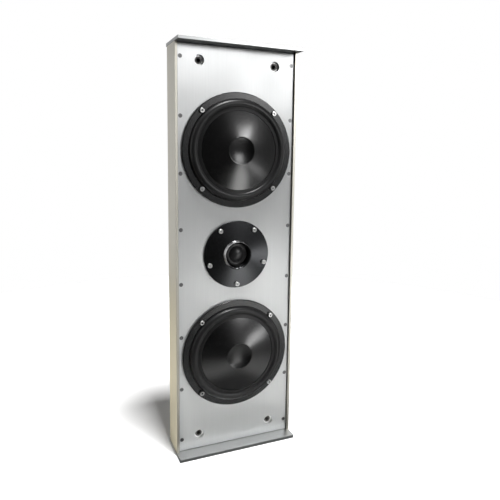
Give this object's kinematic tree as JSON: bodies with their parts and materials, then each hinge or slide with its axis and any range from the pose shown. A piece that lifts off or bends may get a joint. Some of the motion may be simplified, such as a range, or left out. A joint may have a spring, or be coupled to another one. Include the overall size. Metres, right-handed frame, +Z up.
{
  "type": "wall speaker",
  "caption": "Shallow brushed-aluminium wall speaker column with convex-cone woofers above and below a dome tweeter, overhanging end plates and corner peg sockets.",
  "frame": {"origin": "middle of the bottom plate's underside", "axes": "+Z up, front faces -Y, +X to the viewer's right"},
  "size_m": [0.19, 0.071, 0.622],
  "materials": {
    "brushed_aluminium": "vertical brushed, clear anodised",
    "side_aluminium": "satin anodised",
    "rail_aluminium": "as drawn",
    "black_screw": "blackened steel",
    "stainless_screw": "bright stainless steel",
    "bush_metal": "turned",
    "black_rubber": "matte",
    "surround_rubber": "satin",
    "foam": "closed-cell foam",
    "basket_black": "matte black cast alloy",
    "cone_black": "gloss black",
    "coil_former": "foil former with copper winding",
    "spider_cloth": "impregnated cloth",
    "motor_steel": "zinc plated",
    "ferrite": "bare ferrite",
    "terminal_fibre": "fibre board with tags",
    "face_black": "satin black",
    "dome_film": "coated silk",
    "cup_plastic": "moulded",
    "post_red": "moulded cap",
    "post_black": "moulded cap",
    "board": "glass-fibre circuit board",
    "nylon": "natural nylon",
    "copper_coil": "enamelled copper",
    "capacitor_film": "film wrap",
    "wadding_fibre": "polyester fibre",
    "lead_sheath": "flexible sheath",
    "pressed_steel": "zinc plated"
  },
  "bodies": {
    "cabinet": {"baffle": "brushed_aluminium", "baffle_screws": "black_screw", "baffle_seals": "foam", "binding_post_black": "post_black", "binding_post_nuts": "motor_steel", "binding_post_red": "post_red", "board_spacers": "nylon", "bottom_plate": "brushed_aluminium", "crossover_board": "board", "front_rail_left": "rail_aluminium", "front_rail_right": "rail_aluminium", "hanger_cups": "pressed_steel", "input_lead": "lead_sheath", "lower_woofer_basket": "basket_black", "lower_woofer_front_washer": "motor_steel", "lower_woofer_lead": "lead_sheath", "lower_woofer_magnet": "ferrite", "lower_woofer_screws": "stainless_screw", "lower_woofer_terminals": "terminal_fibre", "lower_woofer_yoke": "motor_steel", "plate_screws": "black_screw", "rear_rail_left": "rail_aluminium", "rear_rail_right": "rail_aluminium", "shell": "side_aluminium", "socket_bushes": "bush_metal", "socket_inserts": "black_rubber", "terminal_cup": "cup_plastic", "terminal_cup_screws": "black_screw", "top_plate": "brushed_aluminium", "tweeter_capacitor": "capacitor_film", "tweeter_diaphragm": "dome_film", "tweeter_face": "face_black", "tweeter_front_washer": "motor_steel", "tweeter_inductor": "copper_coil", "tweeter_lead": "lead_sheath", "tweeter_magnet": "ferrite", "tweeter_screws": "stainless_screw", "tweeter_terminals": "terminal_fibre", "tweeter_voice_coil": "coil_former", "tweeter_yoke": "motor_steel", "upper_woofer_basket": "basket_black", "upper_woofer_front_washer": "motor_steel", "upper_woofer_lead": "lead_sheath", "upper_woofer_magnet": "ferrite", "upper_woofer_screws": "stainless_screw", "upper_woofer_terminals": "terminal_fibre", "upper_woofer_yoke": "motor_steel", "wadding": "wadding_fibre", "woofer_capacitor": "capacitor_film", "woofer_inductor": "copper_coil"},
    "upper_cone": {"upper_woofer_cone": "cone_black", "upper_woofer_dust_cap": "cone_black", "upper_woofer_voice_coil": "coil_former", "upper_woofer_surround": "surround_rubber", "upper_woofer_spider": "spider_cloth"},
    "lower_cone": {"lower_woofer_cone": "cone_black", "lower_woofer_dust_cap": "cone_black", "lower_woofer_voice_coil": "coil_former", "lower_woofer_surround": "surround_rubber", "lower_woofer_spider": "spider_cloth"}
  },
  "joints": [
    {"name": "upper_cone_travel", "type": "slide", "parent": "cabinet", "child": "upper_cone", "axis": [0, -1, 0], "range_m": [-0.003, 0.003], "stiffness_N_per_m": 1500, "deforming": ["upper_woofer_surround", "upper_woofer_spider"]},
    {"name": "lower_cone_travel", "type": "slide", "parent": "cabinet", "child": "lower_cone", "axis": [0, -1, 0], "range_m": [-0.003, 0.003], "stiffness_N_per_m": 1500, "deforming": ["lower_woofer_surround", "lower_woofer_spider"]}
  ]
}
